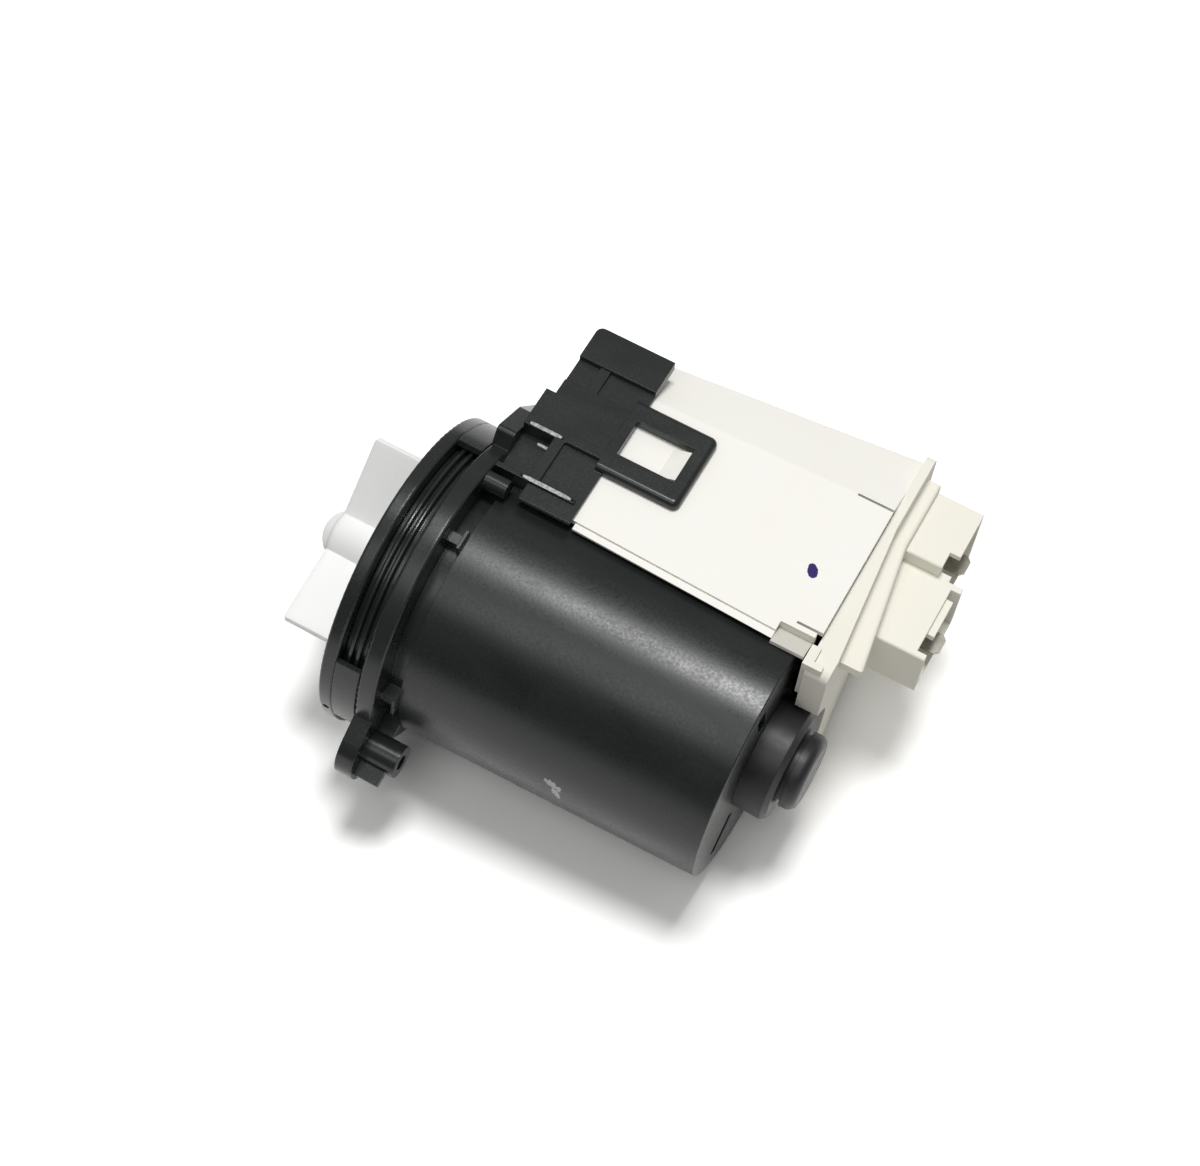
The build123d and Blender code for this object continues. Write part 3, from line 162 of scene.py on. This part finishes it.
def light_world():
    """A world that is white to the camera and through clear things, and dim to every other ray."""
    world = bpy.data.worlds.new("world")
    world.use_nodes = True
    bpy.context.scene.world = world
    tree = world.node_tree
    background = tree.nodes["Background"]
    background.inputs["Color"].default_value = WHITE
    direction = tree.nodes.new("ShaderNodeTexCoord").outputs["Generated"]
    height = tree.nodes.new("ShaderNodeVectorMath")
    height.operation = "DOT_PRODUCT"
    height.inputs[1].default_value = CEILING
    tree.links.new(direction, height.inputs[0])
    level = tree.nodes.new("ShaderNodeMapRange")
    level.inputs["To Min"].default_value = WORLD_LOW
    level.inputs["To Max"].default_value = WORLD_HIGH
    tree.links.new(height.outputs["Value"], level.inputs["Value"])
    seen = tree.nodes.new("ShaderNodeMapRange")
    seen.inputs["To Max"].default_value = 1.0
    tree.links.new(seen_rays(tree, "Camera", "Transmission"), seen.inputs["Value"])
    tree.links.new(level.outputs["Result"], seen.inputs["To Min"])
    tree.links.new(seen.outputs["Result"], background.inputs["Strength"])


light_world()


class Paint:
    """The nodes of one material, worked from the object's own coordinates."""

    def __init__(self, name):
        self.material = bpy.data.materials.new(name)
        self.material.use_nodes = True
        self.tree = self.material.node_tree
        self.shader = self.tree.nodes["Principled BSDF"]
        self.place = self.node("ShaderNodeTexCoord").outputs["Object"]

    def node(self, kind, **settings):
        """A new node with these settings."""
        made = self.tree.nodes.new(kind)
        for name, value in settings.items():
            setattr(made, name, value)
        return made

    def feed(self, socket, value):
        """Links an output to a socket, or sets the socket to a number or colour."""
        if isinstance(value, bpy.types.NodeSocket):
            self.tree.links.new(value, socket)
        else:
            socket.default_value = value

    def set(self, **values):
        """Feeds the shader's sockets, each by its name with _ for a space."""
        for name, value in values.items():
            self.feed(self.shader.inputs[name.replace("_", " ")], value)

    def stretched(self, scale):
        """The place on the object, scaled along each axis."""
        node = self.node("ShaderNodeMapping")
        self.feed(node.inputs["Vector"], self.place)
        node.inputs["Scale"].default_value = scale
        return node.outputs["Vector"]

    def noise(self, size, detail=4.0, roughness=0.55, vector=None, distortion=0.0):
        """Clouds whose features are about this size."""
        node = self.node("ShaderNodeTexNoise")
        self.feed(node.inputs["Vector"], vector or self.place)
        node.inputs["Scale"].default_value = 1.0 / size
        node.inputs["Detail"].default_value = detail
        node.inputs["Roughness"].default_value = roughness
        node.inputs["Distortion"].default_value = distortion
        return node.outputs["Fac"]

    def span(self, value, low, high, start=0.0, end=1.0):
        """Maps a value from one range onto another, and holds it there."""
        node = self.node("ShaderNodeMapRange")
        self.feed(node.inputs["Value"], value)
        self.feed(node.inputs["From Min"], low)
        self.feed(node.inputs["From Max"], high)
        self.feed(node.inputs["To Min"], start)
        self.feed(node.inputs["To Max"], end)
        return node.outputs["Result"]

    def math(self, operation, first, second=0.0):
        """The result of one sum."""
        node = self.node("ShaderNodeMath", operation=operation)
        self.feed(node.inputs[0], first)
        self.feed(node.inputs[1], second)
        return node.outputs[0]

    def within(self, low, high):
        """1 in a box, the same on both sides of the XY plane, else 0."""
        parts = self.node("ShaderNodeSeparateXYZ")
        self.feed(parts.inputs["Vector"], self.place)
        height = self.math("ABSOLUTE", parts.outputs["Z"])
        share = 1.0
        for value, start, end in zip((parts.outputs["X"], parts.outputs["Y"], height), low, high):
            share = self.math("MULTIPLY", share, self.math("GREATER_THAN", value, start))
            share = self.math("MULTIPLY", share, self.math("LESS_THAN", value, end))
        return share

    def mix(self, share, first, second):
        """A colour between two, which is the second where the share is 1."""
        node = self.node("ShaderNodeMix", data_type="RGBA")
        factor, first_colour, second_colour = node.inputs[0], node.inputs[6], node.inputs[7]
        self.feed(factor, share)
        self.feed(first_colour, first)
        self.feed(second_colour, second)
        return node.outputs[2]

    def rounded(self, radius):
        """The surface's direction, as if its edges had this radius."""
        node = self.node("ShaderNodeBevel", samples=4)
        node.inputs["Radius"].default_value = radius
        return node.outputs["Normal"]

    def edges(self, normal):
        """1 on the rounded edges, else 0."""
        true_normal = self.node("ShaderNodeNewGeometry").outputs["Normal"]
        node = self.node("ShaderNodeVectorMath", operation="DOT_PRODUCT")
        self.feed(node.inputs[0], normal)
        self.feed(node.inputs[1], true_normal)
        return self.span(node.outputs["Value"], 0.995, 0.9)

    def bump(self, height, depth, normal=None):
        """The surface's direction, as if it rose by this depth where the height is 1."""
        node = self.node("ShaderNodeBump")
        node.inputs["Distance"].default_value = depth
        node.inputs["Strength"].default_value = 1.0
        self.feed(node.inputs["Height"], height)
        if normal:
            self.feed(node.inputs["Normal"], normal)
        return node.outputs["Normal"]

    def falling(self, slope):
        """The surface's direction, as if it fell by this slope towards +X."""
        parts = self.node("ShaderNodeSeparateXYZ")
        self.feed(parts.inputs["Vector"], self.place)
        return self.bump(self.math("MULTIPLY", parts.outputs["X"], -slope), 1.0)

    def spot(self, centre, size, stretch=(1.0, 1.0, 1.0), turn=0.0, wobble=0.0):
        """1 inside a spot around a point, else 0."""
        away = self.node("ShaderNodeVectorMath", operation="SUBTRACT")
        self.feed(away.inputs[0], self.place)
        away.inputs[1].default_value = centre
        turned = self.node("ShaderNodeVectorRotate", rotation_type="Z_AXIS")
        self.feed(turned.inputs["Vector"], away.outputs["Vector"])
        turned.inputs["Angle"].default_value = -turn
        scaled = self.node("ShaderNodeVectorMath", operation="MULTIPLY")
        self.feed(scaled.inputs[0], turned.outputs["Vector"])
        scaled.inputs[1].default_value = stretch
        length = self.node("ShaderNodeVectorMath", operation="LENGTH")
        self.feed(length.inputs[0], scaled.outputs["Vector"])
        shake = self.span(self.noise(0.9 * MM, 2.0), 0.3, 0.7, -wobble, wobble)
        ragged = self.math("ADD", length.outputs["Value"], shake)
        return self.span(ragged, size, size * 0.9)


def dark(colour, share):
    """The colour with its light times this share."""
    return tuple(c * share for c in colour[:3]) + (1.0,)


def black_plastic(name, colour, roughness, mottle, shine, grain, wear_and_highlight=0.35, edge=0.3 * MM):
    """Glass-filled black plastic: flow marks, grain, a little dust, and paler edges that are partly rubbed
    wear and partly a painted highlight.
    """
    paint = Paint(name)
    flow = paint.noise(9 * MM, 3.0, 0.5, paint.stretched((0.35, 1.0, 1.0)), 0.6)
    fine = paint.noise(0.8 * MM, 3.0, 0.65)
    dust = paint.span(paint.noise(0.5 * MM, 2.0, 0.5), 0.70, 0.78)
    normal = paint.rounded(edge)
    rubbed_and_highlit = paint.math("MULTIPLY", paint.edges(normal), paint.span(paint.noise(4 * MM, 2.0), 0.35, 0.65))
    shade = paint.mix(flow, dark(colour, 0.80), dark(colour, 1.25))
    shade = paint.mix(paint.math("MULTIPLY", dust, 0.12), shade, (0.16, 0.16, 0.155, 1.0))
    # Paler edges: partly rubbed wear, partly painted highlight
    shade = paint.mix(paint.math("MULTIPLY", rubbed_and_highlit, wear_and_highlight), shade, (0.070, 0.072, 0.072, 1.0))
    clouds = paint.math("ADD", paint.math("MULTIPLY", flow, 0.4), paint.math("MULTIPLY", fine, 0.6))
    rough = paint.span(clouds, 0.35, 0.65, roughness - mottle, roughness + mottle)
    paint.set(Base_Color=shade, Roughness=rough, Normal=paint.bump(fine, grain, normal))
    paint.set(Specular_IOR_Level=shine)
    paint.shade = shade
    return paint


def white_plastic(name, colour, roughness=0.50):
    """Satin white plastic: slight yellowing in clouds, fine scratches, a little dirt on the edges."""
    paint = Paint(name)
    cloud = paint.noise(22 * MM, 4.0, 0.5)
    scratch = paint.noise(0.5 * MM, 3.0, 0.5, paint.stretched((0.08, 1.0, 1.0)))
    normal = paint.rounded(0.15 * MM)
    worn = paint.math("MULTIPLY", paint.edges(normal), paint.span(paint.noise(2 * MM), 0.4, 0.65))
    shade = paint.mix(cloud, colour, (colour[0] * 0.97, colour[1] * 0.96, colour[2] * 0.94, 1.0))
    shade = paint.mix(paint.math("MULTIPLY", worn, 0.12), shade, (0.55, 0.54, 0.51, 1.0))
    height = paint.math("ADD", paint.noise(0.4 * MM, 3.0, 0.6), paint.math("MULTIPLY", scratch, 0.6))
    paint.set(Base_Color=shade, Roughness=paint.span(scratch, 0.3, 0.7, roughness - 0.07, roughness + 0.07))
    paint.set(Normal=paint.bump(height, 0.004 * MM, normal), Specular_IOR_Level=0.2)
    paint.shade = shade
    return paint


cover_black = black_plastic(
    "motor_cover_plastic", COVER_BLACK, roughness=0.32, mottle=0.08, shine=0.40, grain=0.013 * MM, wear_and_highlight=0.25
)
body_black = black_plastic(
    "pump_body_plastic", BODY_BLACK, roughness=0.25, mottle=0.05, shine=0.38, grain=0.003 * MM,
    wear_and_highlight=0.5, edge=0.4 * MM
)
rib_black = black_plastic(
    "rib_plastic", BODY_BLACK, roughness=0.24, mottle=0.11, shine=0.25, grain=0.0, wear_and_highlight=0.0, edge=0.0
)
rib_black.set(Normal=rib_black.falling(CROWN_FALL))
housing_white = white_plastic("coil_housing_plastic", HOUSING_WHITE)
# Painted shade: the housing's white plastic, darker and yellower
connector_shaded_white = white_plastic("terminal_cover_plastic", CONNECTOR_SHADED_WHITE, roughness=0.80)


def add_scuff(paint):
    """A pale scrape, made of ragged spots."""
    scuff = 0.0
    for place, radius in SCUFF:
        patch = paint.spot(place, radius, stretch=(1.0, 1.0, 0.6), wobble=0.25 * MM)
        scuff = paint.math("MAXIMUM", scuff, patch)
    scrape = paint.noise(0.7 * MM, 3.0, 0.6)
    scraped = paint.mix(scrape, (0.28, 0.29, 0.28, 1.0), (0.52, 0.53, 0.51, 1.0))
    paint.set(Base_Color=paint.mix(scuff, paint.shade, scraped))


def add_ink_and_web_shade(paint):
    """A dot of ink, and painted shade on the web over the motor cover: a darker box of the housing's white.
    """
    ink = paint.spot(INK_PLACE, INK_RADIUS, INK_STRETCH, math.radians(INK_TURN), wobble=0.12 * MM)
    pen = paint.mix(paint.noise(1.5 * MM, 2.0), (0.012, 0.005, 0.07, 1.0), (0.032, 0.014, 0.17, 1.0))
    # Painted shade: the web is made darker and yellower inside its box
    web_painted_shade = paint.mix(paint.within(*WEB_SHADE_BOX), paint.shade, WEB_PAINTED_SHADE)
    paint.set(Base_Color=paint.mix(ink, web_painted_shade, pen))


add_scuff(cover_black)
add_ink_and_web_shade(housing_white)

# Impeller: milky plastic that lets some light in
impeller_white = white_plastic("impeller_plastic", IMPELLER_WHITE)
impeller_white.set(Subsurface_Weight=0.45, Subsurface_Radius=(3.0 * MM, 3.0 * MM, 2.9 * MM))
impeller_white.set(Subsurface_Scale=1.0)

# Natural plastic of the bobbins and the rotor's core
natural = white_plastic("natural_plastic", (0.66, 0.64, 0.56, 1.0))
natural.set(Subsurface_Weight=0.15, Subsurface_Radius=(1.5 * MM, 1.3 * MM, 1.0 * MM))
natural.set(Subsurface_Scale=1.0)


def rubber(name, roughness, shine, colour, film_share):
    """Black rubber: soft bloom in clouds, fine pores and a dull dust film."""
    paint = Paint(name)
    bloom = paint.noise(5 * MM, 4.0, 0.6)
    pores = paint.noise(0.18 * MM, 2.0, 0.5)
    normal = paint.rounded(0.4 * MM)
    shade = paint.mix(bloom, dark(colour, 0.7), dark(colour, 1.4))
    film = paint.span(paint.noise(1.2 * MM, 5.0, 0.7), 0.58, 0.75, 0.0, film_share)
    shade = paint.mix(film, shade, (0.20, 0.20, 0.19, 1.0))
    paint.set(Base_Color=shade, Roughness=paint.span(bloom, 0.3, 0.7, roughness - 0.05, roughness + 0.07))
    paint.set(Normal=paint.bump(pores, 0.004 * MM, normal), Specular_IOR_Level=shine)
    return paint


seal_rubber = rubber(
    "seal_rubber", roughness=0.19, shine=0.5, colour=(0.010, 0.012, 0.012, 1.0), film_share=0.03
)
foot_rubber = rubber(
    "foot_rubber", roughness=0.42, shine=0.38, colour=(0.017, 0.017, 0.019, 1.0), film_share=0.06
)
inner_rubber = rubber(
    "inner_rubber", roughness=0.5, shine=0.4, colour=(0.028, 0.028, 0.028, 1.0), film_share=0.12
)


def metal(name, colour, roughness, stretch, line, depth):
    """Metal with lines drawn along its stretched axis, and tarnish in clouds."""
    paint = Paint(name)
    lines = paint.noise(line, 3.0, 0.6, paint.stretched(stretch))
    tarnish = paint.noise(4 * MM, 4.0, 0.6)
    shade = paint.mix(paint.span(tarnish, 0.35, 0.75), colour, dark(colour, 0.62))
    normal = paint.rounded(0.12 * MM)
    paint.set(Base_Color=shade, Metallic=1.0, Normal=paint.bump(lines, depth, normal))
    paint.set(Roughness=paint.span(lines, 0.3, 0.7, roughness - 0.10, roughness + 0.10))
    return paint


shaft_steel = metal(
    "shaft_steel", (0.60, 0.60, 0.61, 1.0), roughness=0.24,
    stretch=(1.0, 0.05, 0.05), line=0.15 * MM, depth=0.002 * MM
)
tinned_tab = metal(
    "tinned_tab", (0.34, 0.33, 0.29, 1.0), roughness=0.38,
    stretch=(0.06, 1.0, 1.0), line=0.25 * MM, depth=0.004 * MM
)
sintered_bronze = metal(
    "sintered_bronze", (0.46, 0.32, 0.17, 1.0), roughness=0.52,
    stretch=(1.0, 1.0, 1.0), line=0.12 * MM, depth=0.02 * MM
)
core_sheets = metal(
    "core_sheets", (0.36, 0.37, 0.39, 1.0), roughness=0.42,
    stretch=(1.0, 0.004, 0.004), line=0.6 * MM, depth=0.08 * MM
)
ferrite = metal(
    "ferrite", (0.105, 0.105, 0.112, 1.0), roughness=0.55,
    stretch=(1.0, 1.0, 1.0), line=0.3 * MM, depth=0.012 * MM
)


def copper_wire(name):
    """Enamelled turns side by side, with a slight unevenness and painted shade between the turns."""
    paint = Paint(name)
    wave = paint.node("ShaderNodeTexWave", wave_type="BANDS", bands_direction="Y")
    paint.feed(wave.inputs["Vector"], paint.place)
    wave.inputs["Scale"].default_value = 0.5 / WIRE_PITCH / math.pi
    wave.inputs["Distortion"].default_value = 0.8
    wave.inputs["Detail Scale"].default_value = 300.0
    turns = wave.outputs["Fac"]
    cloud = paint.noise(6 * MM)
    colour = paint.mix(cloud, (0.55, 0.22, 0.09, 1.0), (0.74, 0.36, 0.17, 1.0))
    # Darker between the turns: painted shade in the grooves between the wires
    colour = paint.mix(paint.span(turns, 0.0, 0.25, 0.6, 0.0), colour, (0.10, 0.03, 0.015, 1.0))
    paint.set(Base_Color=colour, Metallic=0.85, Coat_Weight=0.5, Coat_Roughness=0.15)
    paint.set(Roughness=paint.span(cloud, 0.3, 0.7, 0.28, 0.42), Normal=paint.bump(turns, 0.12 * MM))
    return paint


winding = copper_wire("copper_wire")
protector_case = black_plastic(
    "protector_case", BODY_BLACK, roughness=0.5, mottle=0.08, shine=0.4, grain=0.010 * MM
)

# Each node's material
finishes = {
    "pump_body": body_black,
    "chamber_cover": body_black,
    "motor_cover": cover_black,
    "rear_foot": foot_rubber,
    "flange_seal": seal_rubber,
    "shaft_seal": inner_rubber,
    "coupling_damper": inner_rubber,
    "front_bearing_holder": inner_rubber,
    "rear_bearing_holder": inner_rubber,
    "coil_housing": housing_white,
    "terminal_cover": connector_shaded_white,
    "impeller": impeller_white,
    "impeller_cap": impeller_white,
    "coupling_dog": natural,
    "rotor_core": natural,
    "coil_bobbin_upper": natural,
    "coil_bobbin_lower": natural,
    "coil_winding_upper": winding,
    "coil_winding_lower": winding,
    "rotor_shaft": shaft_steel,
    "rotor_magnet": ferrite,
    "front_bearing": sintered_bronze,
    "rear_bearing": sintered_bronze,
    "stator_core": core_sheets,
    "terminal_low": tinned_tab,
    "terminal_high": tinned_tab,
    "thermal_protector": protector_case,
}
for node_name, paint in finishes.items():
    shown = bpy.data.objects[node_name]
    shown.data.materials.clear()
    shown.data.materials.append(paint.material)


# Crowned top faces of the ribs round the pockets, which catch the light
def crown_mesh(name, start, end, width, side):
    """A low crown along a rib's top, narrower towards its ends. Each ring of points is one cross-section."""
    ring = CROWN_STRIPS + 3
    points = []
    for i in range(CROWN_STEPS + 1):
        share = i / CROWN_STEPS
        taper = min(1.0, CROWN_TAPERS * share, CROWN_TAPERS * (1 - share))
        half = width / 2 * (CROWN_TIP_SHARE + (1 - CROWN_TIP_SHARE) * taper)
        middle = Vector(start).lerp(Vector(end), share)
        for j in range(CROWN_STRIPS + 1):
            y = half * (2 * j / CROWN_STRIPS - 1)
            rise = CROWN_HEIGHT + y * CROWN_LEAN - y * y * CROWN_CURVE / width
            points.append((middle.x, middle.y + y, side * (middle.z + rise)))
        for y in (half, -half):
            points.append((middle.x, middle.y + y, side * (middle.z - CROWN_HEIGHT / 2)))
    faces = []
    smooth = []
    for i in range(CROWN_STEPS):
        here, there = i * ring, (i + 1) * ring
        for j in range(ring):
            beside = (j + 1) % ring
            faces.append((here + j, there + j, there + beside, here + beside))
            smooth.append(j < CROWN_STRIPS)
    for first in (0, CROWN_STEPS * ring):
        faces.append(tuple(range(first, first + ring)))
        smooth.append(False)
    mesh = bpy.data.meshes.new(name)
    mesh.from_pydata(points, [], faces)
    for face, is_smooth in zip(mesh.polygons, smooth):
        face.use_smooth = is_smooth
    work = bmesh.new()
    work.from_mesh(mesh)
    bmesh.ops.recalc_face_normals(work, faces=work.faces)
    work.to_mesh(mesh)
    work.free()
    return mesh


def add_crown(name, facts, side):
    """A crown on the upper side, 1, or on the lower side, -1."""
    crown = bpy.data.objects.new(name, crown_mesh(name, *facts, side))
    crown.data.materials.append(rib_black.material)
    bpy.context.scene.collection.objects.link(crown)
    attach(crown, "housing")


for crown_name, crown_facts in RIB_CROWNS.items():
    add_crown(crown_name + "_upper", crown_facts, 1)
    add_crown(crown_name + "_lower", crown_facts, -1)


# Floor
def lowest_along(direction):
    """How far down the pump reaches along a direction that points up."""
    places = [Vector(v.co) for name in finishes for v in bpy.data.objects[name].data.vertices]
    return min(place.dot(direction) for place in places)


def add_floor():
    """A wide pale floor under the pump, which is white to the eye and in reflections."""
    tilt = math.radians(FLOOR_TILT)
    up = Vector((-math.sin(tilt), 0.0, math.cos(tilt)))
    half = FLOOR_SIZE / 2
    corners = [(-half, -half, 0), (half, -half, 0), (half, half, 0), (-half, half, 0)]
    mesh = bpy.data.meshes.new("floor")
    mesh.from_pydata(corners, [], [(0, 1, 2, 3)])
    paint = Paint("floor")
    grain = paint.noise(0.6 * MM)
    seen = seen_rays(paint.tree, "Camera", "Glossy", "Transmission")
    paint.set(Base_Color=paint.mix(seen, FLOOR_COLOUR, FLOOR_SEEN))
    paint.set(Roughness=paint.span(grain, 0.3, 0.7, 0.7, 0.8), Specular_IOR_Level=0.2)
    mesh.materials.append(paint.material)
    floor = bpy.data.objects.new("floor", mesh)
    turn = up.to_track_quat("Z", "Y").to_matrix().to_4x4()
    floor.matrix_world = Matrix.Translation(up * lowest_along(up)) @ turn
    bpy.context.scene.collection.objects.link(floor)


add_floor()
